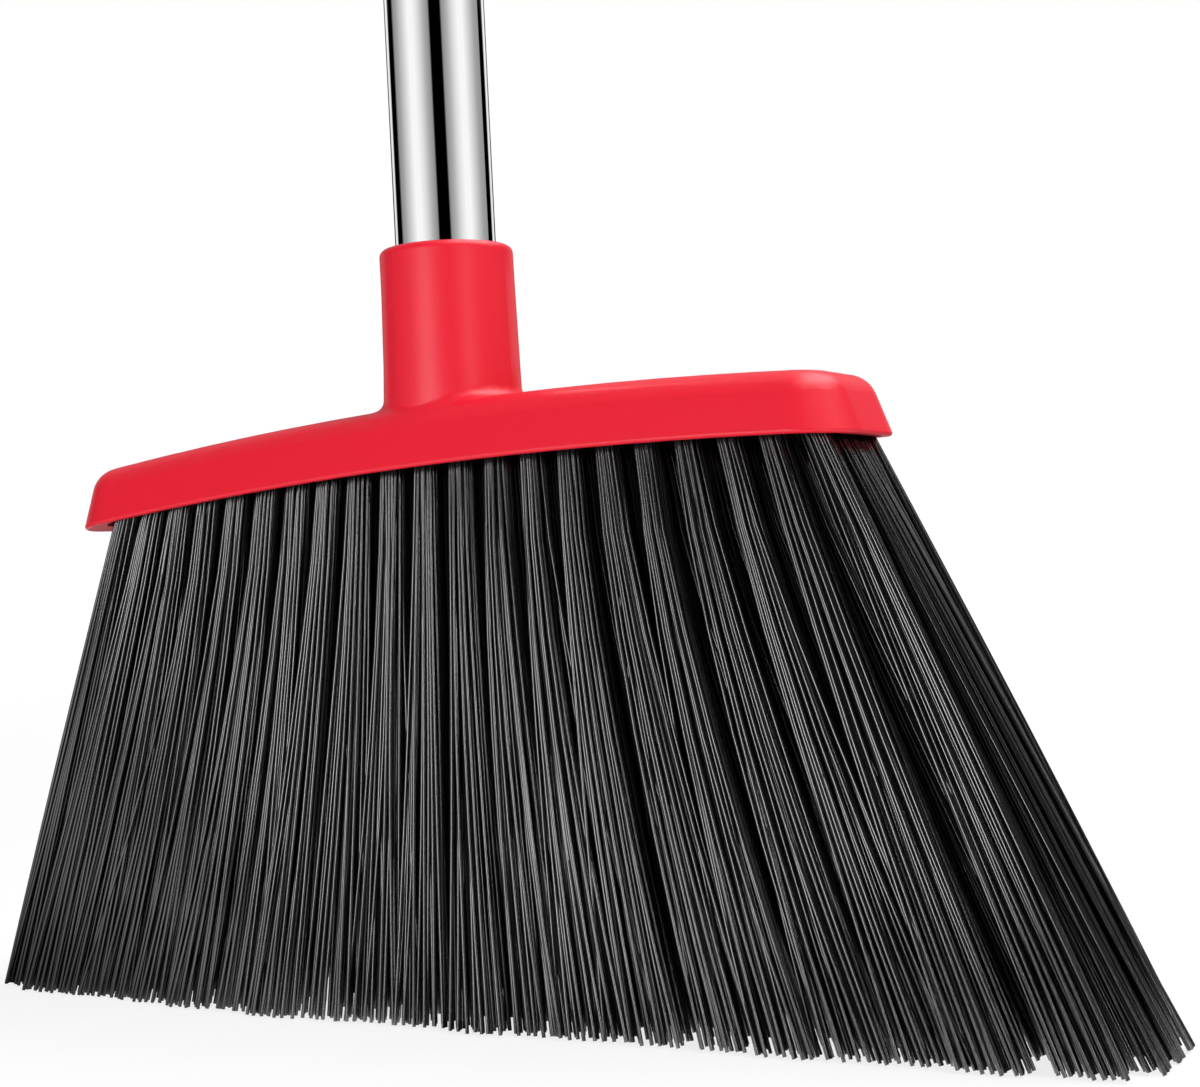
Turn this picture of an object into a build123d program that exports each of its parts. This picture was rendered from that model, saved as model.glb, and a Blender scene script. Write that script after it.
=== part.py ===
from build123d import *

import math
import os

# Angle broom with a moulded head, flared bristles and a three-section screw-together handle.
# Millimetres. The origin is on the floor, straight below the handle, among the bristle tips.
# +Z runs up the handle, +X along the head towards its high end, -Y is the front.

# Handle tubes, and the plastic and rubber rings between them
TUBE_R = 12.5
TUBE_WALL = 0.5
TUBE_L = 383.0
SPIGOT_GAP = 0.05
FLANGE_R = 12.3
FLANGE_T = 2.0
WASHER_T = 2.5
WASHER_R = 12.2
WASHER_ROUND = 0.6

# Coarse right-hand handle thread with blunt flanks
PITCH = 5.0
THREAD_L = 17.5
THREAD_ROOT_R = 7.0
THREAD_CREST_R = 9.2
THREAD_CREST_HALF = 0.85
THREAD_LEAD_IN = 1.6
FLANK = math.tan(math.radians(14.5))
THREAD_GAP = 0.3
BORE_R = 7.5
GROOVE_R = 9.7
BORE_L = 20.5
GROOVE_RUN_OUT = 1.0
PLUG_LEAD = 1.0
FUSE = 0.4

# Socket of the head
RIM_Z = 187.5
RIM_R = 16.55
SOCKET_FOOT_R = 17.25
SOCKET_FOOT_Z = 149.0
SOCKET_ROOT_Z = 144.9
SOCKET_FLARE = 3.2
RIM_ROUND = 1.8
TUBE_DEPTH = 18.0
TUBE_GAP = 0.3
CORE_R = 13.0
CORE_Z = 143.0
CORE_H = 4.9
SEAT_Z = RIM_Z - TUBE_DEPTH - FLANGE_T - WASHER_T

# Block of the head: arched, drafted on every side and tilted up towards its high end
BLOCK_Z = 132.75
BLOCK_TILT = math.radians(2.85)
BLOCK_L = 218.2
BLOCK_W = 42.0
BLOCK_BOW = 1.5
BLOCK_H = 15.4
CORNER_R = 13.0
DRAFT = math.tan(math.radians(17.0))
ARCH_HALF = 109.5
ARCH_LOW = 4.8
ARCH_TOP = 5.7
TOP_LEAN = 0.35
ARCH_REACH = 121.0
PLAN_LOW = -10.0
PLAN_HIGH = BLOCK_H + 1.0
TOP_ROUND = 7.2
EDGE_ROUND = 0.7
COVER_WALL = 2.0
COVER_TOP = 2.6
LIP_LOW_END = 6.6
LIP_HIGH_END = 1.8
OPENING_CORNER_R = 10.0
CAVITY_ROUND = 3.0
RIB_T = 1.8
RIB_Y = 9.0
RIB_REACH = 102.0
RIB_HALF = 17.0
RIB_BITE = 0.8
RIB_GAP = 0.15
CROSS_RIB_X = (-66.0, -28.0, 28.0, 66.0)

# Bristle base inside the head, and the slices below it that carry the rows of tufts
BASE_INSET = COVER_WALL + 0.25
BASE_RECESS = 2.0
SLICE_T = 2.0
BASE_T = 5.0
LAYER_GAP = 0.05
SLICE_GAP = 0.1
SLICE_TOP = BASE_RECESS + SLICE_T
BASE_TOP = SLICE_TOP + BASE_T

# Tufts: five rows in line, leaning outwards and trimmed level. The high end fans out furthest
# in its middle rows and comes a little forward.
TUFT_PITCH = 9.8
TUFT_GRADE = 0.028
TUFT_END = 10
ROW_PITCH = 6.6
ROW_NAMES = ("front", "front_inner", "middle", "back_inner", "back")
TUFT_HOLE_R = 2.9
TUFT_ROOT_R = 2.8
TUFT_ROOT_H = 2.4
ANCHOR_L = 5.0
ANCHOR_T = 0.5
ANCHOR_H = 1.5
LEAN_LOW_END = math.tan(math.radians(18.3))
LEAN_HIGH_END = math.tan(math.radians(22.7))
SIDE_FLARE = 0.93
END_FLARE = 0.33
END_SHARPNESS = 3
HIGH_END_BULGE = 10.2
BULGE_DROP = 2.27
BULGE_ROW = 0.3
HIGH_END_FORWARD = 6.4
STRAND_FOOT = 1.2
STRAND_TIP = 1.1
STRAND_RING = 1.9
STRANDS_ROUND = 3
STRAND_TURN = math.radians(30)
TIP_SPREAD = 2.4
TIP_RAGGED = 1.5
RAGGED_WAVES = (13.0, 29.0, 7.0)

# Self-tapping screws that hold the base up in the head, in place of four middle tufts
SCREW_TUFTS = (-9, -5, 5, 9)
SCREW_HEAD_R = 2.5
SCREW_HEAD_T = 1.9
SCREW_HEAD_ROUND = 0.7
SCREW_R = 1.5
SCREW_L = 8.9
SCREW_POINT = 0.8
SCREW_SLOT = (3.0, 0.7, 1.0)
SCREW_SEAT = 0.3
SCREW_ACCESS_R = 2.8
SCREW_HOLE_R = 1.8
PILOT_R = 1.6
PILOT_L = 4.4
BOSS_R = 4.0
BOSS_GAP = 0.4

# Plugs and sleeves pressed into the tubes, and the cap with its hanging hole
SPIGOT_L = 30.0
SPIGOT_BORE_R = 8.0
SPIGOT_WEB = 5.0
SLEEVE_L = 34.0
CAP_COLLAR = 8.0
CAP_H = 40.0
CAP_DOME = 10.5
CAP_T = 10.0
CAP_EDGE = 1.0
HANG_H = 25.0
HANG_R = 4.5

# Overlap of shapes that are joined or cut, length of a cut that goes right through, and the
# upward part of its normal from which a face counts as level
OVERLAP = 1.0
THROUGH = 60.0
NEARLY_LEVEL = 0.9

HEAD = Plane(
    origin=(0, 0, BLOCK_Z),
    x_dir=(math.cos(BLOCK_TILT), 0, math.sin(BLOCK_TILT)),
    z_dir=(-math.sin(BLOCK_TILT), 0, math.cos(BLOCK_TILT)),
)
HEAD_SIDE = Plane(origin=HEAD.origin, x_dir=HEAD.x_dir, z_dir=(0, -1, 0))
UP = (Align.CENTER, Align.CENTER, Align.MIN)
DOWN = (Align.CENTER, Align.CENTER, Align.MAX)


def arch_drop(x, sag=ARCH_LOW):
    """How far an arch of the head has come down at x."""
    return sag * (x / ARCH_HALF) ** 2


def arch_band(low, high, high_sag, reach, forward=0.0, high_lean=0.0):
    """Side view of a layer of the head between a lower and an upper arch, which may lean."""
    low_end = low - arch_drop(reach)
    high_end = high - arch_drop(reach, high_sag)
    top_left = (-reach, high_end + high_lean)
    top_right = (reach, high_end - high_lean)
    with BuildSketch(HEAD_SIDE.offset(forward)) as band:
        with BuildLine():
            ThreePointArc((-reach, low_end), (0, low), (reach, low_end))
            Line((reach, low_end), top_right)
            ThreePointArc(top_right, (0, high), top_left)
            Line(top_left, (-reach, low_end))
        make_face()
    return band.sketch


def block_plan(level, inset, ends, corner):
    """Plan of the drafted block at a level: bowed long sides and round corners."""
    drawn_in = inset + level * DRAFT
    low = -BLOCK_L / 2 + drawn_in + ends[0]
    high = BLOCK_L / 2 - drawn_in - ends[1]
    middle = (low + high) / 2
    half_w = BLOCK_W / 2 - drawn_in
    with BuildSketch(HEAD.offset(level)) as plan:
        with BuildLine():
            Line((high, -half_w), (high, half_w))
            ThreePointArc((high, half_w), (middle, half_w + BLOCK_BOW), (low, half_w))
            Line((low, half_w), (low, -half_w))
            ThreePointArc((low, -half_w), (middle, -half_w - BLOCK_BOW), (high, -half_w))
        make_face()
        fillet(plan.vertices(), corner - drawn_in)
    return plan.sketch


def arched_block(low, high, high_sag=ARCH_LOW, inset=0.0, ends=(0.0, 0.0), corner=CORNER_R):
    """Drafted layer of the head between two arches, drawn in from its outline."""
    plans = [block_plan(level, inset, ends, corner) for level in (PLAN_LOW, PLAN_HIGH)]
    lean = TOP_LEAN if high_sag == ARCH_TOP else 0.0
    band = arch_band(low, high, high_sag, ARCH_REACH, high_lean=lean)
    with BuildPart() as block:
        loft(plans, ruled=True)
        extrude(band, amount=BLOCK_W, both=True, mode=Mode.INTERSECT)
    return block.part


def layer_in_opening(inset, low, high, high_sag=ARCH_LOW):
    """Layer of the head inside the opening of its cover, which is shorter than the block."""
    ends = (LIP_LOW_END, LIP_HIGH_END)
    return arched_block(low, high, high_sag, inset, ends, OPENING_CORNER_R)


def level_faces(builder):
    """Faces of a piece that lie nearly level, from the lowest up."""
    level = builder.faces().filter_by(lambda face: abs(face.normal_at().Z) > NEARLY_LEVEL)
    return level.sort_by(Axis.Z)


def thread_ridge(start_z, height, root_r, crest_r, crest_half):
    """Helical ridge round the Z axis whose middle starts at start_z on the +X side."""
    root_half = crest_half + (crest_r - root_r) * FLANK
    with BuildPart() as ridge:
        with BuildLine():
            path = Helix(PITCH, height, (root_r + crest_r) / 2, center=(0, 0, start_z))
        with BuildSketch(Plane.XZ):
            with BuildLine():
                Polyline(
                    (root_r, start_z - root_half),
                    (crest_r, start_z - crest_half),
                    (crest_r, start_z + crest_half),
                    (root_r, start_z + root_half),
                    close=True,
                )
            make_face()
        sweep(path=path, is_frenet=True)
    return ridge.part


def screw_bore(seat_z):
    """Space left open by a female thread below the seat of its washer."""
    widened = THREAD_GAP * math.hypot(1, FLANK) - (GROOVE_R - THREAD_CREST_R) * FLANK
    half_turn_back = seat_z - THREAD_L + THREAD_LEAD_IN - PITCH / 2
    groove = thread_ridge(
        half_turn_back,
        BORE_L + GROOVE_RUN_OUT,
        BORE_R - FUSE,
        GROOVE_R,
        THREAD_CREST_HALF + widened,
    )
    with BuildPart() as bore:
        with Locations((0, 0, seat_z)):
            Cylinder(BORE_R, BORE_L, align=DOWN)
        add(groove.rotate(Axis.Z, 180))
    return bore.part


def tuft_x(column):
    """Place of a tuft along the head, with the pitch opening towards the high end."""
    return TUFT_PITCH * column + TUFT_GRADE * column**2


def row_columns(row):
    """Columns of a row's tufts, without those that give way to screws in the middle row."""
    screwed = SCREW_TUFTS if row == 0 else ()
    return [column for column in range(-TUFT_END, TUFT_END + 1) if column not in screwed]


def on_head(x, y, level):
    """Place on the head at a level above its lower arch."""
    return HEAD.location * Pos(x, y, level - arch_drop(x))


def head_places(spots, level):
    """Places on the head over a list of spots."""
    return [on_head(x, y, level) for x, y in spots]


ROWS = (-2, -1, 0, 1, 2)
TUFTS = [(tuft_x(column), row * ROW_PITCH) for row in ROWS for column in row_columns(row)]
SCREWS = [(tuft_x(column), 0) for column in SCREW_TUFTS]


def strand(row, column, number):
    """One strand from inside its slice to its trimmed tip, as a tapering square bar."""
    x = tuft_x(column)
    y = row * ROW_PITCH
    angle = STRAND_TURN + 2 * math.pi * number / STRANDS_ROUND
    ring = STRAND_RING if number else 0.0
    side = ring * math.cos(angle)
    deep = ring * math.sin(angle)
    foot = on_head(x + side, y + deep, SLICE_TOP - SLICE_T / 2).position
    along = column / TUFT_END
    near_end = abs(along) ** END_SHARPNESS
    near_high_end = near_end if along > 0 else 0.0
    lean = along * (LEAN_HIGH_END if along > 0 else LEAN_LOW_END)
    bulge = near_high_end * (HIGH_END_BULGE - BULGE_DROP * (row - BULGE_ROW) ** 2)
    flare = SIDE_FLARE + near_end * (END_FLARE - SIDE_FLARE)
    reach_x = lean * foot.Z + bulge + (TIP_SPREAD - 1) * side
    reach_y = flare * y - near_high_end * HIGH_END_FORWARD + (TIP_SPREAD - 1) * deep
    phase = sum(wave * at for wave, at in zip(RAGGED_WAVES, (column, row, number)))
    uneven = TIP_RAGGED * math.sin(phase)
    tip = Vector(foot.X + reach_x, foot.Y + reach_y, max(0.0, uneven))
    with BuildPart() as bar:
        with BuildSketch(Plane(foot)):
            Rectangle(STRAND_FOOT, STRAND_FOOT)
        with BuildSketch(Plane(tip)):
            Rectangle(STRAND_TIP, STRAND_TIP)
        loft(ruled=True)
    return bar.part


def threaded_plug(label, seat_z):
    """Plug pressed into the foot of a tube, with the male thread below its flange."""
    flange_z = seat_z + WASHER_T
    ridge = thread_ridge(
        seat_z - THREAD_L + THREAD_LEAD_IN,
        THREAD_L + WASHER_T - 2 * THREAD_LEAD_IN,
        THREAD_ROOT_R - FUSE,
        THREAD_CREST_R,
        THREAD_CREST_HALF,
    )
    with BuildPart() as plug:
        with Locations((0, 0, flange_z)):
            Cylinder(THREAD_ROOT_R, THREAD_L + WASHER_T, align=DOWN)
            Cylinder(FLANGE_R, FLANGE_T, align=UP)
        with Locations((0, 0, flange_z + FLANGE_T)):
            Cylinder(TUBE_R - TUBE_WALL - SPIGOT_GAP, SPIGOT_L, align=UP)
        with Locations((0, 0, flange_z + FLANGE_T + SPIGOT_WEB)):
            Cylinder(SPIGOT_BORE_R, SPIGOT_L, align=UP, mode=Mode.SUBTRACT)
        chamfer(plug.faces().sort_by(Axis.Z)[0].edges(), PLUG_LEAD)
        add(ridge)
    return named(plug.part, label)


def threaded_sleeve(label, seat_z):
    """Sleeve pressed into the head of a tube, with the female thread and a rim on the tube."""
    bore = screw_bore(seat_z)
    with BuildPart() as sleeve:
        with Locations((0, 0, seat_z)):
            Cylinder(FLANGE_R, FLANGE_T, align=DOWN)
        with Locations((0, 0, seat_z - FLANGE_T)):
            Cylinder(TUBE_R - TUBE_WALL - SPIGOT_GAP, SLEEVE_L, align=DOWN)
        add(bore, mode=Mode.SUBTRACT)
    return named(sleeve.part, label)


def tube(label, foot_z):
    """One thin-walled steel tube of the handle."""
    with BuildPart() as pipe:
        with BuildSketch(Plane.XY.offset(foot_z)):
            Circle(TUBE_R)
            Circle(TUBE_R - TUBE_WALL, mode=Mode.SUBTRACT)
        extrude(amount=TUBE_L)
    return named(pipe.part, label)


def washer(label, seat_z):
    """Rubber washer that a screwed joint is tightened on."""
    with BuildPart() as ring:
        with BuildSketch(Plane.XY.offset(seat_z)):
            Circle(WASHER_R)
            Circle(GROOVE_R, mode=Mode.SUBTRACT)
        extrude(amount=WASHER_T)
        outer_edges = ring.edges().filter_by(GeomType.CIRCLE).group_by(SortBy.RADIUS)[-1]
        fillet(outer_edges, WASHER_ROUND)
    return named(ring.part, label)


def named(part, label):
    """Give a finished piece its name and write it."""
    part.label = label
    export_step(part, f"parts/{label}.step")
    return part


os.makedirs("parts", exist_ok=True)

# Head cover: one moulding with the socket and its female thread, ribs and screw bosses
block = arched_block(0, BLOCK_H, ARCH_TOP)
hollow = layer_in_opening(COVER_WALL, -ARCH_LOW, BLOCK_H - COVER_TOP, ARCH_TOP)
rib_low = BASE_TOP + RIB_GAP
rib_top = BLOCK_H - COVER_TOP + RIB_BITE
long_ribs = [arch_band(rib_low, rib_top, ARCH_TOP, RIB_REACH, y) for y in (-RIB_Y, RIB_Y)]
socket_bore = screw_bore(SEAT_Z)

with BuildPart() as cavity:
    add(hollow)
    fillet(level_faces(cavity)[-1].edges(), CAVITY_ROUND)

with BuildPart() as head_cover:
    add(block)
    fillet(level_faces(head_cover)[-1].edges(), TOP_ROUND)
    fillet(level_faces(head_cover)[0].edges(), EDGE_ROUND)
    with BuildSketch(Plane.XZ):
        with BuildLine():
            Polyline(
                (0, RIM_Z),
                (RIM_R, RIM_Z),
                (SOCKET_FOOT_R, SOCKET_FOOT_Z),
                (SOCKET_FOOT_R, SOCKET_ROOT_Z),
                (0, SOCKET_ROOT_Z),
                close=True,
            )
        make_face()
    revolve(axis=Axis.Z)
    fillet(head_cover.edges(Select.NEW), SOCKET_FLARE)
    fillet(head_cover.faces().sort_by(Axis.Z)[-1].edges(), RIM_ROUND)
    add(cavity.part, mode=Mode.SUBTRACT)
    with Locations((0, 0, CORE_Z)):
        Cylinder(CORE_R, CORE_H, align=UP)
    for rib in long_ribs:
        extrude(rib, amount=RIB_T / 2, both=True)
    for x in CROSS_RIB_X:
        low = rib_low - arch_drop(x)
        with Locations(HEAD.location * Pos(x, 0, low)):
            Box(RIB_T, 2 * RIB_HALF, rib_top - arch_drop(x, ARCH_TOP) - low, align=UP)
    for x, y in SCREWS:
        boss_low = BASE_TOP + BOSS_GAP - arch_drop(x)
        with Locations(HEAD.location * Pos(x, y, boss_low)):
            Cylinder(BOSS_R, rib_top - arch_drop(x, ARCH_TOP) - boss_low, align=UP)
        with Locations(HEAD.location * Pos(x, y, BASE_TOP - arch_drop(x))):
            Cylinder(PILOT_R, PILOT_L, align=UP, mode=Mode.SUBTRACT)
    with Locations((0, 0, SEAT_Z)):
        Cylinder(TUBE_R + TUBE_GAP, RIM_Z - SEAT_Z, align=UP, mode=Mode.SUBTRACT)
    add(socket_bore, mode=Mode.SUBTRACT)
named(head_cover.part, "head_cover")

# Bristle base: a black plate in the head, drilled for every tuft and spot-faced for the screws
hole_depth = TUFT_ROOT_H + ANCHOR_H + 2 * LAYER_GAP
plate = layer_in_opening(BASE_INSET, SLICE_TOP, BASE_TOP)
with BuildPart() as bristle_base:
    add(plate)
    with Locations(*head_places(TUFTS, SLICE_TOP - OVERLAP)):
        Cylinder(TUFT_HOLE_R, hole_depth + OVERLAP, align=UP, mode=Mode.SUBTRACT)
    with Locations(*head_places(SCREWS, SLICE_TOP - OVERLAP)):
        Cylinder(SCREW_ACCESS_R, SCREW_SEAT + OVERLAP, align=UP, mode=Mode.SUBTRACT)
        Cylinder(SCREW_HOLE_R, BASE_T + 2 * OVERLAP, align=UP, mode=Mode.SUBTRACT)
named(bristle_base.part, "bristle_base")

# Tuft anchors: a flat wire staple at the top of every tuft hole
with BuildPart() as tuft_anchors:
    with Locations(*head_places(TUFTS, SLICE_TOP + TUFT_ROOT_H + LAYER_GAP)):
        Box(ANCHOR_L, ANCHOR_T, ANCHOR_H, align=UP)
named(tuft_anchors.part, "tuft_anchors")

# Bristle rows: a slice of the backing with the roots and strands of one row of tufts
slices = layer_in_opening(BASE_INSET, BASE_RECESS, SLICE_TOP - LAYER_GAP)
for row, row_name in zip(ROWS, ROW_NAMES):
    columns = row_columns(row)
    feet = [(tuft_x(column), row * ROW_PITCH) for column in columns]
    strands = [strand(row, column, n) for column in columns for n in range(STRANDS_ROUND + 1)]
    outer = abs(row) == ROWS[-1]
    slice_w = BLOCK_W if outer else ROW_PITCH - SLICE_GAP
    slice_y = row * ROW_PITCH
    if outer:
        slice_y += math.copysign((BLOCK_W - ROW_PITCH + SLICE_GAP) / 2, row)
    with BuildPart() as bristle_row:
        add(slices)
        with Locations((0, slice_y, BLOCK_Z)):
            Box(2 * ARCH_REACH, slice_w, THROUGH, mode=Mode.INTERSECT)
        with Locations(*head_places(feet, SLICE_TOP - OVERLAP)):
            Cylinder(TUFT_ROOT_R, TUFT_ROOT_H + OVERLAP, align=UP)
        if row == 0:
            with Locations(*head_places(SCREWS, 0)):
                Cylinder(SCREW_ACCESS_R, THROUGH, mode=Mode.SUBTRACT)
        add(strands, clean=False)
    named(bristle_row.part, f"bristle_row_{row_name}")

# Head screws: pan heads with a cross recess, up through the base into the bosses
with BuildPart() as screw:
    Cylinder(SCREW_HEAD_R, SCREW_HEAD_T, align=DOWN)
    fillet(screw.faces().sort_by(Axis.Z)[0].edges(), SCREW_HEAD_ROUND)
    Cylinder(SCREW_R, SCREW_L, align=UP)
    chamfer(screw.faces().sort_by(Axis.Z)[-1].edges(), SCREW_POINT)
    with Locations((0, 0, -SCREW_HEAD_T)):
        Box(*SCREW_SLOT, align=UP, mode=Mode.SUBTRACT)
        Box(*SCREW_SLOT, align=UP, rotation=(0, 0, 90), mode=Mode.SUBTRACT)

with BuildPart() as head_screws:
    with Locations(*head_places(SCREWS, SLICE_TOP + SCREW_SEAT)):
        add(screw.part)
named(head_screws.part, "head_screws")

# Handle: three tubes, each joint a plug screwed into a sleeve on a rubber washer
foot_z = SEAT_Z + WASHER_T + FLANGE_T
seat_z = SEAT_Z
for place in ("lower", "middle", "upper"):
    washer(f"{place}_washer", seat_z)
    threaded_plug(f"{place}_plug", seat_z)
    tube(f"{place}_tube", foot_z)
    if place != "upper":
        seat_z = foot_z + TUBE_L + FLANGE_T
        threaded_sleeve(f"{place}_sleeve", seat_z)
        foot_z = seat_z + WASHER_T + FLANGE_T

# Hanging cap: a domed plug with two flats and a hole to hang the broom by
cap_z = foot_z + TUBE_L
with BuildPart() as hanging_cap:
    with Locations((0, 0, cap_z)):
        Cylinder(FLANGE_R, CAP_H, align=UP)
    fillet(hanging_cap.faces().sort_by(Axis.Z)[-1].edges(), CAP_DOME)
    with Locations((0, -CAP_T, cap_z + CAP_COLLAR), (0, CAP_T, cap_z + CAP_COLLAR)):
        Box(2 * TUBE_R, CAP_T, CAP_H, align=UP, mode=Mode.SUBTRACT)
    with Locations((0, 0, cap_z)):
        Cylinder(TUBE_R - TUBE_WALL - SPIGOT_GAP, SPIGOT_L, align=DOWN)
    with Locations((0, 0, cap_z - SPIGOT_WEB)):
        Cylinder(SPIGOT_BORE_R, SPIGOT_L, align=DOWN, mode=Mode.SUBTRACT)
    with Locations(Location((0, 0, cap_z + HANG_H), (90, 0, 0))):
        Cylinder(HANG_R, THROUGH, mode=Mode.SUBTRACT)
    hole_edges = hanging_cap.faces().filter_by(Axis.Y).edges().filter_by(GeomType.CIRCLE)
    chamfer(hole_edges.group_by(SortBy.RADIUS)[0], CAP_EDGE)
named(hanging_cap.part, "hanging_cap")
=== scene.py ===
import math
import random

import bmesh
import bpy
from mathutils import Matrix, Vector


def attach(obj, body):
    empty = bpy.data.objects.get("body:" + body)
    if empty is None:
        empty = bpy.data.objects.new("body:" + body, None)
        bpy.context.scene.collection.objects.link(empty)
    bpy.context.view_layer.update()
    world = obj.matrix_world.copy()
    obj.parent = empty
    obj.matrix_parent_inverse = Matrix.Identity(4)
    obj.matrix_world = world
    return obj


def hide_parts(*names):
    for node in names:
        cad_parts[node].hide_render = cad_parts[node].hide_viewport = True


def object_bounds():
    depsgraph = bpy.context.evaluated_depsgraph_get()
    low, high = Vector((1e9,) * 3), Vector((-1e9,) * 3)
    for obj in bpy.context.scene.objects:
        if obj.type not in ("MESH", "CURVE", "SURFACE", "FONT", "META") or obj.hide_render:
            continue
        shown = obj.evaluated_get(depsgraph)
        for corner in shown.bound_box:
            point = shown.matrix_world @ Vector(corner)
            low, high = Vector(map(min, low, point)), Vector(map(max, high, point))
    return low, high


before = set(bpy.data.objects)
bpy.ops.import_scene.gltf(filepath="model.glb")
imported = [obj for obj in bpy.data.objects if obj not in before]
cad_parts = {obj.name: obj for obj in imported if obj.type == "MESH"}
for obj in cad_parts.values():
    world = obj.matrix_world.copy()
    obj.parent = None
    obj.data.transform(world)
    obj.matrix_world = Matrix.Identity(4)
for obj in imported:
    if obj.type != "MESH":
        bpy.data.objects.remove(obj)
cad_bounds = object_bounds()

# Head cover. One injection moulding in bright red polypropylene, open below: an arched block with
# the tapered socket that the handle screws into. It comes half glossy out of a polished mould.
NOISE_DETAIL = 3.0


def srgb(code):
    """Linear colour of an sRGB hex code."""
    shares = [int(code[at : at + 2], 16) / 255 for at in (0, 2, 4)]
    linear = [s / 12.92 if s <= 0.04045 else ((s + 0.055) / 1.055) ** 2.4 for s in shares]
    return (*linear, 1.0)


def add_node(tree, kind, inputs, **settings):
    """Add a node with its settings, and give its inputs, by name or number, a value or a link."""
    made = tree.nodes.new(kind)
    for name, value in settings.items():
        setattr(made, name, value)
    for name, source in inputs.items():
        if isinstance(source, bpy.types.NodeSocket):
            tree.links.new(source, made.inputs[name])
        else:
            made.inputs[name].default_value = source
    return made


def surface(name, colour, roughness, metallic=0.0):
    """Material with a plain colour, and its shader for the finer looks."""
    made = bpy.data.materials.new(name)
    made.use_nodes = True
    shader = made.node_tree.nodes["Principled BSDF"]
    shader.inputs["Base Color"].default_value = srgb(colour)
    shader.inputs["Roughness"].default_value = roughness
    shader.inputs["Metallic"].default_value = metallic
    return made, shader


def unevenness(made, spacing_mm):
    """Noise over a material in object space, with its spacing along each axis."""
    tree = made.node_tree
    place = add_node(tree, "ShaderNodeTexCoord", {})
    scale = [1000 / size for size in spacing_mm]
    stretch = add_node(tree, "ShaderNodeMapping", {"Vector": place.outputs["Object"], "Scale": scale})
    noise = add_node(
        tree,
        "ShaderNodeTexNoise",
        {"Vector": stretch.outputs["Vector"], "Scale": 1.0, "Detail": NOISE_DETAIL},
    )
    return noise.outputs["Fac"]


def grain(made, shader, spacing_mm, height_mm):
    """Fine bumps on a material, of that spacing and height."""
    tree = made.node_tree
    bump = add_node(
        tree,
        "ShaderNodeBump",
        {"Height": unevenness(made, spacing_mm), "Distance": height_mm / 1000},
    )
    tree.links.new(bump.outputs["Normal"], shader.inputs["Normal"])


def finish_node(name, made):
    """Give a piece of the frame its material."""
    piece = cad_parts[name]
    piece.data.materials.clear()
    piece.data.materials.append(made)


# Saturated red, a little lighter than signal red, with soft broad highlights
red_plastic, red_shader = surface("red polypropylene", "d21229", roughness=0.42)
red_shader.inputs["Specular IOR Level"].default_value = 0.35
grain(red_plastic, red_shader, spacing_mm=(1.6, 1.6, 1.6), height_mm=0.004)
finish_node("head_cover", red_plastic)

# Bristle base. A black moulded plate inside the head with a hole for every tuft. Flat wire staples
# anchor the tufts in their holes, and four self-tapping screws hold the plate up in the head.
NOISE_LOW = 0.3
NOISE_HIGH = 0.7


def uneven_gloss(made, shader, spacing_mm, spread):
    """Roughness of a material that wanders by a spread to both sides of its own value."""
    tree = made.node_tree
    middle = shader.inputs["Roughness"].default_value
    gloss = add_node(
        tree,
        "ShaderNodeMapRange",
        {
            "Value": unevenness(made, spacing_mm),
            "From Min": NOISE_LOW,
            "From Max": NOISE_HIGH,
            "To Min": middle - spread,
            "To Max": middle + spread,
        },
    )
    tree.links.new(gloss.outputs["Result"], shader.inputs["Roughness"])


# Near-black polypropylene, moulded dull with a fine eroded grain, drawn coarser here so that it shows
black_plastic, black_shader = surface("black polypropylene", "17171a", roughness=0.45)
grain(black_plastic, black_shader, spacing_mm=(0.7, 0.7, 0.7), height_mm=0.006)
finish_node("bristle_base", black_plastic)

# Zinc-plated steel, grey and slightly dull, clouded in patches by the plating bath
plated_steel, plated_shader = surface("plated steel", "b4b6b8", roughness=0.35, metallic=1.0)
uneven_gloss(plated_steel, plated_shader, spacing_mm=(2.5, 2.5, 2.5), spread=0.07)
finish_node("tuft_anchors", plated_steel)
finish_node("head_screws", plated_steel)

# Bristles. Extruded polypropylene strands a millimetre thick, set in tufts, flared by the lean of
# their holes and trimmed level. Each row of tufts comes with its strip of the backing plate.

# Lower arch of the tilted head, which the backing follows, and the cuts that let it bend (metres)
BLOCK_Z = 0.13275
BLOCK_TILT = math.radians(2.85)
ARCH_HALF = 0.1095
ARCH_LOW = 0.0048
ARCH_CUTS = range(-9, 11)
ARCH_CUT_PITCH = 0.01

# Backing plate, its levels counted from the arch, and the gap between the strips of two rows
BACKING_LOW = 0.002
BACKING_HIGH = 0.00395
BACKING_ENDS = (-0.1007, 0.1057)
BACKING_HALF_W = 0.0181
BACKING_BOW = 0.0015
BACKING_CORNER = 0.0072
BACKING_CORNER_STEPS = 6
STRIP_GAP = 0.0001

# Rows of tufts, counted from the middle one, and the places along a row, which lie further apart
# towards the high end. Four places of the middle row hold the screws.
FRONT_ROW = -2
BACK_ROW = 2
ROWS = {
    "bristle_row_front": FRONT_ROW,
    "bristle_row_front_inner": -1,
    "bristle_row_middle": 0,
    "bristle_row_back_inner": 1,
    "bristle_row_back": BACK_ROW,
}
ROW_PITCH = 0.0066
TUFT_PITCH = 0.0098
TUFT_GRADE = 0.000028
TUFT_END = 10
SCREW_TUFTS = (-9, -5, 5, 9)

# Lean of the end tufts, how far the rows open to front and back, and the fuller sweep of the high
# end, which is largest near one row and falls off with the square of the distance from it
LEAN_LOW_END = math.tan(math.radians(18.3))
LEAN_HIGH_END = math.tan(math.radians(22.7))
SIDE_FLARE = 0.93
END_FLARE = 0.33
MIDDLE_BEND = 0.45
HIGH_END_BULGE = 0.0102
BULGE_DROP = 0.00227
BULGE_ROW = 0.3
HIGH_END_FORWARD = 0.0064

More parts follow.
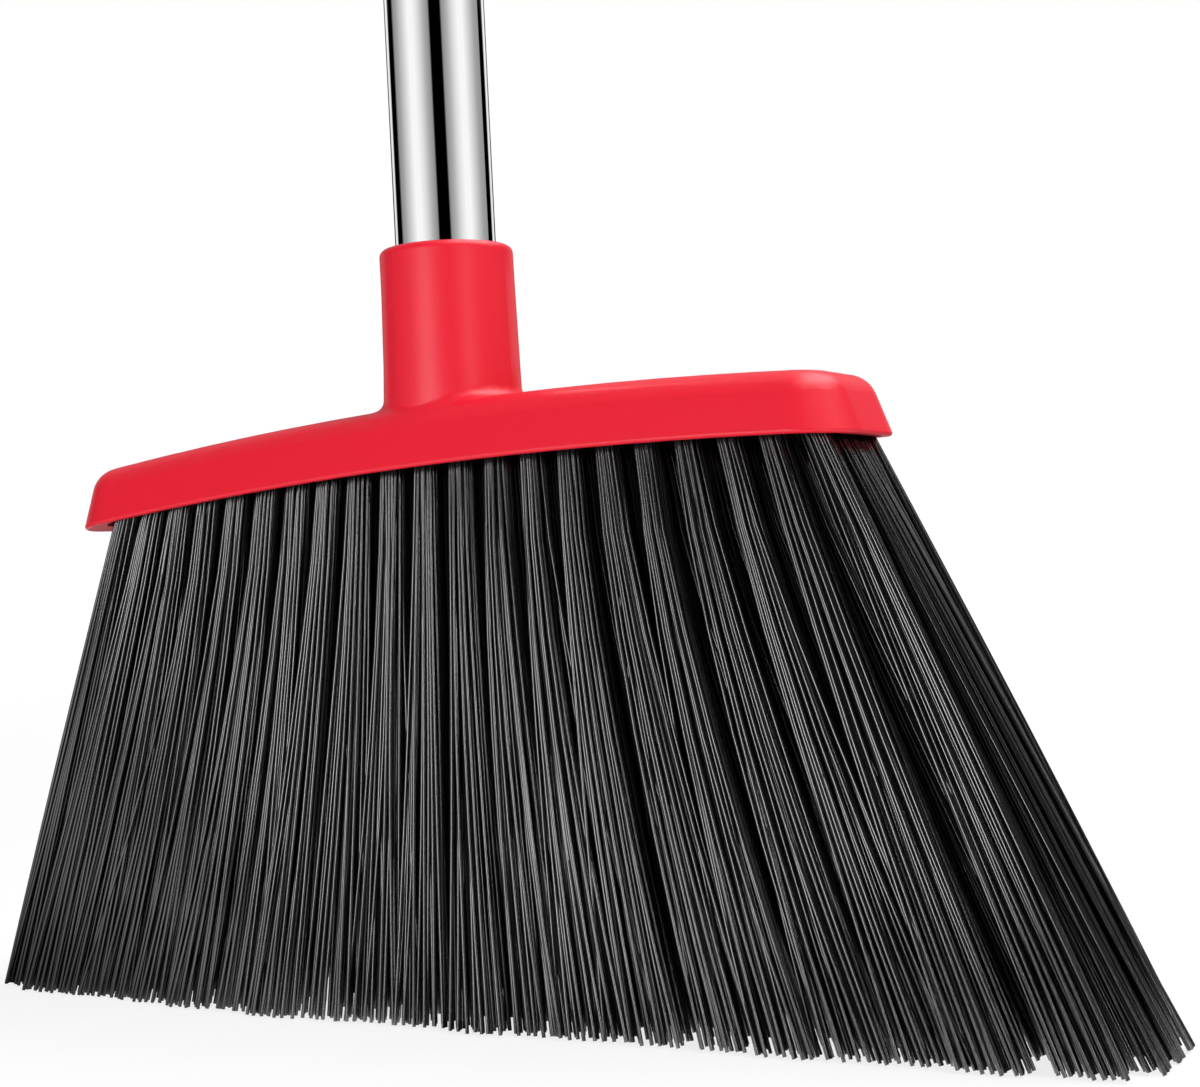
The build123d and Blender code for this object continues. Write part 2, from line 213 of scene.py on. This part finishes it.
# Strands of a tuft, on an uneven grid that is round at the root and wide at the tips
STRANDS_SIDE = 7
STRANDS_DEEP = 5
STRAND_IN_CELL = (0.15, 0.85)
STRAND_R = 0.00046
STRAND_ROUNDING = 1
STRAND_LEVEL = 0.003
STRAND_POINTS = 7
ROOT_R = 0.0028
TIP_SIDE = 0.0078
TIP_DEEP = 0.0042
TIP_HEIGHTS = (0.0003, 0.0008)

# Waviness of a strand, and how far whole tufts and loose strands stray from their places
SWAY = 0.0005
ASTRAY = 0.0011
ASTRAY_INSIDE = 0.0026
LOOSE_SHARE = 0.1
LOOSE_SHARE_INSIDE = 0.25
LOOSE_STRAY = 0.0045
TUFT_SEED = 11
LOOSE_SEED = 5

head_turn = Matrix.Translation((0, 0, BLOCK_Z)) @ Matrix.Rotation(-BLOCK_TILT, 4, "Y")
chance = random.Random(TUFT_SEED)
loose_chance = random.Random(LOOSE_SEED)


def on_head(x, y, level):
    """Point on the head at a level over its lower arch."""
    return head_turn @ Vector((x, y, level - ARCH_LOW * (x / ARCH_HALF) ** 2))


def backing_strip(mesh, low_y, high_y):
    """Strip of the backing plate between two lines along the head, bent to the arch."""
    half_l = (BACKING_ENDS[1] - BACKING_ENDS[0]) / 2
    middle = (BACKING_ENDS[1] + BACKING_ENDS[0]) / 2
    plate = bmesh.new()
    bmesh.ops.create_grid(plate, x_segments=1, y_segments=1, size=1.0)
    bmesh.ops.scale(plate, verts=plate.verts, vec=(half_l, BACKING_HALF_W, 1))
    bmesh.ops.translate(plate, verts=plate.verts, vec=(middle, 0, BACKING_LOW))
    bmesh.ops.bevel(
        plate,
        geom=plate.verts[:],
        offset=BACKING_CORNER,
        offset_type="OFFSET",
        affect="VERTICES",
        segments=BACKING_CORNER_STEPS,
        profile=0.5,
        material=-1,
    )
    raised = bmesh.ops.extrude_face_region(plate, geom=plate.faces[:])
    lift = [v for v in raised["geom"] if isinstance(v, bmesh.types.BMVert)]
    bmesh.ops.translate(plate, verts=lift, vec=(0, 0, BACKING_HIGH - BACKING_LOW))
    for step in ARCH_CUTS:
        everything = plate.verts[:] + plate.edges[:] + plate.faces[:]
        cut_at = (step * ARCH_CUT_PITCH, 0, 0)
        bmesh.ops.bisect_plane(plate, geom=everything, plane_co=cut_at, plane_no=(1, 0, 0))
    for y, side in ((low_y, -1), (high_y, 1)):
        everything = plate.verts[:] + plate.edges[:] + plate.faces[:]
        cut = bmesh.ops.bisect_plane(
            plate, geom=everything, plane_co=(0, y, 0), plane_no=(0, side, 0), clear_outer=True
        )
        open_edges = [e for e in cut["geom_cut"] if isinstance(e, bmesh.types.BMEdge)]
        bmesh.ops.holes_fill(plate, edges=open_edges)
    for vert in plate.verts:
        bow = BACKING_BOW * (1 - ((vert.co.x - middle) / half_l) ** 2)
        y = vert.co.y * (1 + bow / BACKING_HALF_W)
        vert.co = on_head(vert.co.x, y, vert.co.z)
    bmesh.ops.recalc_face_normals(plate, faces=plate.faces)
    plate.to_mesh(mesh)
    plate.free()


def tuft_strands(row, column):
    """Strands of one tuft, each a list of points from inside the backing to its trimmed tip."""
    x = TUFT_PITCH * column + TUFT_GRADE * column**2
    y = row * ROW_PITCH
    along = column / TUFT_END
    near_end = abs(along) ** 3
    near_high_end = near_end if along > 0 else 0.0
    lean = along * (LEAN_HIGH_END if along > 0 else LEAN_LOW_END)
    bulge = near_high_end * (HIGH_END_BULGE - BULGE_DROP * (row - BULGE_ROW) ** 2)
    forward = near_high_end * HIGH_END_FORWARD
    flare = SIDE_FLARE + near_end * (END_FLARE - SIDE_FLARE)
    bend = 1.0 + MIDDLE_BEND * (1 - along**2)
    stray = ASTRAY_INSIDE
    loose_share = LOOSE_SHARE_INSIDE
    if row in (FRONT_ROW, BACK_ROW):
        stray = ASTRAY
        loose_share = LOOSE_SHARE
    if abs(column) >= TUFT_END - 1:
        stray = ASTRAY
        loose_share = 0.0
    astray_x = chance.gauss(0, stray)
    astray_y = chance.gauss(0, ASTRAY)
    low, high = cad_bounds
    strands = []
    for number in range(STRANDS_SIDE * STRANDS_DEEP):
        side = 2 * (number % STRANDS_SIDE + chance.uniform(*STRAND_IN_CELL)) / STRANDS_SIDE - 1
        deep = 2 * (number // STRANDS_SIDE + chance.uniform(*STRAND_IN_CELL)) / STRANDS_DEEP - 1
        root_x = x + ROOT_R * side * math.sqrt(1 - deep**2 / 2)
        root_y = y + ROOT_R * deep * math.sqrt(1 - side**2 / 2)
        foot = on_head(root_x, root_y, STRAND_LEVEL)
        tip_x = foot.x + lean * foot.z + bulge + astray_x + x - root_x + TIP_SIDE * side
        if loose_chance.random() < loose_share:
            tip_x += loose_chance.gauss(0, LOOSE_STRAY)
        tip_y = (1 + flare) * (y + TIP_DEEP * deep / 2) - forward + astray_y
        tip = Vector(
            (
                min(max(tip_x, low[0] + STRAND_R), high[0] - STRAND_R),
                min(max(tip_y, low[1] + STRAND_R), high[1] - STRAND_R),
                chance.uniform(*TIP_HEIGHTS),
            )
        )
        sway_x = chance.gauss(0, SWAY)
        sway_y = chance.gauss(0, SWAY)
        points = []
        for step in range(STRAND_POINTS):
            t = step / (STRAND_POINTS - 1)
            wave = math.sin(math.pi * t)
            points.append(
                (
                    foot.x + (tip.x - foot.x) * t**bend + sway_x * wave,
                    foot.y + (tip.y - foot.y) * t + sway_y * wave,
                    foot.z + (tip.z - foot.z) * t,
                )
            )
        strands.append(points)
    return strands


# Black polypropylene strand, smooth from the die, so that it shines along its length, and a little
# more or less from strand to strand
bristle_plastic, bristle_shader = surface("black bristle polypropylene", "0a0a0b", roughness=0.21)
bristle_shader.inputs["Specular IOR Level"].default_value = 1.0
uneven_gloss(bristle_plastic, bristle_shader, spacing_mm=(1.2, 1.2, 45), spread=0.03)

for name, row in ROWS.items():
    lines = bpy.data.curves.new(name + " strands", "CURVE")
    lines.dimensions = "3D"
    lines.bevel_depth = STRAND_R
    lines.bevel_resolution = STRAND_ROUNDING
    lines.use_fill_caps = True
    for column in range(-TUFT_END, TUFT_END + 1):
        if row == 0 and column in SCREW_TUFTS:
            continue
        for points in tuft_strands(row, column):
            spline = lines.splines.new("POLY")
            spline.points.add(len(points) - 1)
            spline.points.foreach_set("co", [value for point in points for value in (*point, 1.0)])
    maker = bpy.data.objects.new(name + " lines", lines)
    bpy.context.scene.collection.objects.link(maker)
    bpy.context.view_layer.update()
    depsgraph = bpy.context.evaluated_depsgraph_get()
    solid = bpy.data.meshes.new_from_object(maker.evaluated_get(depsgraph))
    bpy.data.objects.remove(maker)
    low_y = row * ROW_PITCH - ROW_PITCH / 2 + STRIP_GAP / 2
    high_y = row * ROW_PITCH + ROW_PITCH / 2 - STRIP_GAP / 2
    if row == FRONT_ROW:
        low_y = -2 * BACKING_HALF_W
    if row == BACK_ROW:
        high_y = 2 * BACKING_HALF_W
    strip = bpy.data.meshes.new(name + " strip")
    backing_strip(strip, low_y, high_y)
    whole = bmesh.new()
    whole.from_mesh(solid)
    for face in whole.faces:
        face.smooth = True
    whole.from_mesh(strip)
    mesh = bpy.data.meshes.new(name + " tufts")
    whole.to_mesh(mesh)
    whole.free()
    mesh.materials.append(bristle_plastic)
    tufts = bpy.data.objects.new(name + "_tufts", mesh)
    bpy.context.scene.collection.objects.link(tufts)
    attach(tufts, "head")
    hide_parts(name)

# Handle. Three thin tubes of polished stainless steel that screw together. Each has a black plug
# pressed into its foot, which screws into the socket or sleeve below on a rubber washer.

# Mirror-polished steel, faintly streaked along its length by drawing, coarser here so that it shows
stainless, stainless_shader = surface(
    "polished stainless steel", "f7f7f8", roughness=0.031, metallic=1.0
)
uneven_gloss(stainless, stainless_shader, spacing_mm=(0.8, 0.8, 60), spread=0.006)
# Black rubber, dull, with the fine pitting of a moulded ring
rubber, rubber_shader = surface("black rubber", "131313", roughness=0.75)
grain(rubber, rubber_shader, spacing_mm=(0.5, 0.5, 0.5), height_mm=0.01)
for section in ("lower", "middle", "upper"):
    finish_node(section + "_tube", stainless)
    finish_node(section + "_plug", black_plastic)
    finish_node(section + "_washer", rubber)
finish_node("lower_sleeve", black_plastic)
finish_node("middle_sleeve", black_plastic)

# Hanging cap. A domed plug moulded in the head's red plastic, pressed into the top tube, with two
# flats and a hole through them to hang the broom by.
finish_node("hanging_cap", red_plastic)

# Studio floor. A wide pale sheet that runs into white far off and keeps a faint shadow. Polished
# metal needs something dark round it to show its form, so mirrors see a ring of bright and dark
# panels on the floor, each named here by its angle from the photo's side and its brightness.
CAMERA_AT = Vector((0.265308, -0.419378, 0.109930))
PHOTO_SIDE = math.radians(90) - math.atan2(CAMERA_AT.x, -CAMERA_AT.y)
DARK_FRONT = ((0, 0.0), (12.5, 0.0))
SOFT_BOX_RISING = ((15, 0.28), (27, 0.46), (40, 0.78), (53, 1.0))
SOFT_BOX_FALLING = ((65, 1.0), (80, 0.7), (99, 0.38), (110, 0.29))
DARK_SIDE = ((116, 0.0), (137, 0.0))
REAR_STRIP = ((141, 0.85), (154, 0.85), (158, 0.0))
PANELS = DARK_FRONT + SOFT_BOX_RISING + SOFT_BOX_FALLING + DARK_SIDE + REAR_STRIP
FLOOR_HALF = 6.0
PALE_SHARE = 0.8
PALE_REACH = (0.5, 2.5)
PALE_LEVELS = (1.0, 1.25)
PANEL_REACH = (0.42, 0.62)
PANEL_LEVELS = (1.8, 1.0)


def from_photo_side(tree, direction):
    """Direction turned so that its +X points to the side that the photo was taken from."""
    turned = add_node(tree, "ShaderNodeMapping", {"Vector": direction, "Rotation": (0, 0, PHOTO_SIDE)})
    return turned.outputs["Vector"]


def panel_ring(tree, turned):
    """Colour of the panels round the handle, the same to both sides of the photo's side."""
    sweep = add_node(tree, "ShaderNodeTexGradient", {"Vector": turned}, gradient_type="RADIAL")
    panels = add_node(tree, "ShaderNodeValToRGB", {"Fac": sweep.outputs["Fac"]})
    stops = panels.color_ramp.elements
    stops[-1].color = (0, 0, 0, 1)
    for angle, level in PANELS:
        for position in {0.5 - angle / 360, 0.5 + angle / 360}:
            stops.new(position).color = (level, level, level, 1)
    return panels.outputs["Color"]


floor_mesh = bpy.data.meshes.new("floor")
sheet = bmesh.new()
bmesh.ops.create_grid(sheet, x_segments=1, y_segments=1, size=FLOOR_HALF)
sheet.to_mesh(floor_mesh)
sheet.free()
floor = bpy.data.objects.new("floor", floor_mesh)
bpy.context.scene.collection.objects.link(floor)
# Dull white paint, mostly replaced by plain white for the camera, so that the shadow stays faint
floor_paint, floor_shader = surface("pale floor", "f4f4f4", roughness=0.9)
floor_shader.inputs["Specular IOR Level"].default_value = 0.0
tree = floor_paint.node_tree
ray = add_node(tree, "ShaderNodeLightPath", {})
place = add_node(tree, "ShaderNodeTexCoord", {})
reach = add_node(tree, "ShaderNodeVectorMath", {0: place.outputs["Object"]}, operation="LENGTH")
pale = add_node(
    tree,
    "ShaderNodeMapRange",
    {
        "Value": reach.outputs["Value"],
        "From Min": PALE_REACH[0],
        "From Max": PALE_REACH[1],
        "To Min": PALE_LEVELS[0],
        "To Max": PALE_LEVELS[1],
    },
)
pale_glow = add_node(tree, "ShaderNodeEmission", {"Strength": pale.outputs["Result"]})
pale_share = add_node(
    tree, "ShaderNodeMath", {0: ray.outputs["Is Camera Ray"], 1: PALE_SHARE}, operation="MULTIPLY"
)
with_pale = add_node(
    tree,
    "ShaderNodeMixShader",
    {
        "Fac": pale_share.outputs["Value"],
        1: floor_shader.outputs["BSDF"],
        2: pale_glow.outputs["Emission"],
    },
)
panel_level = add_node(
    tree,
    "ShaderNodeMapRange",
    {
        "Value": reach.outputs["Value"],
        "From Min": PANEL_REACH[0],
        "From Max": PANEL_REACH[1],
        "To Min": PANEL_LEVELS[0],
        "To Max": PANEL_LEVELS[1],
    },
)
panel_glow = add_node(
    tree,
    "ShaderNodeEmission",
    {
        "Color": panel_ring(tree, from_photo_side(tree, place.outputs["Object"])),
        "Strength": panel_level.outputs["Result"],
    },
)
with_panels = add_node(
    tree,
    "ShaderNodeMixShader",
    {
        "Fac": ray.outputs["Is Glossy Ray"],
        1: with_pale.outputs["Shader"],
        2: panel_glow.outputs["Emission"],
    },
)
tree.links.new(with_panels.outputs["Shader"], tree.nodes["Material Output"].inputs["Surface"])
floor_mesh.materials.append(floor_paint)

# Studio walls. White to the camera, and an even pale light on the broom. Mirrors see the same ring
# of panels here up to their top edge, and over it a ceiling that is brighter behind the broom.
WALL_LIGHT = 0.22
PANEL_TOP = (0.29, 0.34)
OVER_PANELS = 0.05
CEILING_LEAN = -0.3
CEILING_RISE = (0.45, 1.0)
CEILING_LEVEL = 0.85
WHITE = (1, 1, 1, 1)

world = bpy.data.worlds.new("studio")
bpy.context.scene.world = world
world.use_nodes = True
tree = world.node_tree
tree.nodes.clear()
ray = add_node(tree, "ShaderNodeLightPath", {})
place = add_node(tree, "ShaderNodeTexCoord", {})
turned = from_photo_side(tree, place.outputs["Generated"])
upward = add_node(tree, "ShaderNodeSeparateXYZ", {"Vector": place.outputs["Generated"]})
panel_level = add_node(
    tree,
    "ShaderNodeMapRange",
    {
        "Value": upward.outputs["Z"],
        "From Min": PANEL_TOP[0],
        "From Max": PANEL_TOP[1],
        "To Min": 1.0,
        "To Max": OVER_PANELS,
    },
)
mirrored = add_node(
    tree,
    "ShaderNodeBackground",
    {"Color": panel_ring(tree, turned), "Strength": panel_level.outputs["Result"]},
)
towards = add_node(tree, "ShaderNodeSeparateXYZ", {"Vector": turned})
leaning = add_node(
    tree,
    "ShaderNodeMath",
    {0: towards.outputs["X"], 1: CEILING_LEAN, 2: upward.outputs["Z"]},
    operation="MULTIPLY_ADD",
)
ceiling = add_node(
    tree,
    "ShaderNodeMapRange",
    {
        "Value": leaning.outputs["Value"],
        "From Min": CEILING_RISE[0],
        "From Max": CEILING_RISE[1],
        "To Min": 0.0,
        "To Max": CEILING_LEVEL,
    },
)
overhead = add_node(
    tree, "ShaderNodeBackground", {"Color": WHITE, "Strength": ceiling.outputs["Result"]}
)
with_overhead = add_node(
    tree,
    "ShaderNodeAddShader",
    {0: mirrored.outputs["Background"], 1: overhead.outputs["Background"]},
)
walls = add_node(tree, "ShaderNodeBackground", {"Color": WHITE, "Strength": WALL_LIGHT})
with_mirrored = add_node(
    tree,
    "ShaderNodeMixShader",
    {
        "Fac": ray.outputs["Is Glossy Ray"],
        1: walls.outputs["Background"],
        2: with_overhead.outputs["Shader"],
    },
)
white = add_node(tree, "ShaderNodeBackground", {"Color": WHITE})
with_white = add_node(
    tree,
    "ShaderNodeMixShader",
    {
        "Fac": ray.outputs["Is Camera Ray"],
        1: with_mirrored.outputs["Shader"],
        2: white.outputs["Background"],
    },
)
add_node(tree, "ShaderNodeOutputWorld", {"Surface": with_white.outputs["Shader"]})

# Studio lamps. A key high on the right, a broad fill from behind on the right, a low strip that
# brings out the head's end, and a strip in front that shines along the strands.
LAMPS_AIM = Vector((0, 0, 0.15))


def soft_light(name, azimuth, elevation, distance, size, power):
    """Rectangular soft light that faces the head, its azimuth from the front to the high end."""
    light = bpy.data.lights.new(name, "AREA")
    light.shape = "RECTANGLE"
    light.size, light.size_y = size
    light.energy = power
    lamp = bpy.data.objects.new(name, light)
    bpy.context.scene.collection.objects.link(lamp)
    round_z = math.radians(azimuth)
    rise = math.radians(elevation)
    flat = math.cos(rise)
    out = Vector((math.sin(round_z) * flat, -math.cos(round_z) * flat, math.sin(rise)))
    lamp.location = LAMPS_AIM + distance * out
    lamp.rotation_euler = out.to_track_quat("Z", "Y").to_euler()


soft_light("key", azimuth=66, elevation=64, distance=1.6, size=(0.65, 0.52), power=7.7)
soft_light("right fill", azimuth=126, elevation=59, distance=1.6, size=(1.4, 1.1), power=30)
soft_light("side strip", azimuth=63, elevation=6, distance=1.2, size=(0.25, 0.12), power=1.85)
soft_light("left strip", azimuth=-6, elevation=-1.0, distance=0.65, size=(0.25, 0.28), power=2.2)

# Camera. It stands low before the high end and looks almost level, rolled a little, as the photo's
# did. Its focal length is given in pixels of the photo.
HEADING = 0.494124
RISE = 0.00498757
ROLL = -0.04946733
FOCAL_PX = 1990.391
PHOTO_WIDTH_PX = 1200
SENSOR_MM = 36.0

view = bpy.data.cameras.new("photo view")
view.sensor_fit = "HORIZONTAL"
view.sensor_width = SENSOR_MM
view.lens = SENSOR_MM * FOCAL_PX / PHOTO_WIDTH_PX
camera = bpy.data.objects.new("photo view", view)
bpy.context.scene.collection.objects.link(camera)
level_ahead = Vector((-math.sin(HEADING), math.cos(HEADING), 0))
level_right = Vector((math.cos(HEADING), math.sin(HEADING), 0))
ahead = math.cos(RISE) * level_ahead + Vector((0, 0, math.sin(RISE)))
upright = level_right.cross(ahead)
right = math.cos(ROLL) * level_right + math.sin(ROLL) * upright
up = math.cos(ROLL) * upright - math.sin(ROLL) * level_right
facing = Matrix((right, up, -ahead)).transposed().to_4x4()
camera.matrix_world = Matrix.Translation(CAMERA_AT) @ facing
bpy.context.scene.camera = camera
bpy.context.scene.view_settings.view_transform = "Standard"
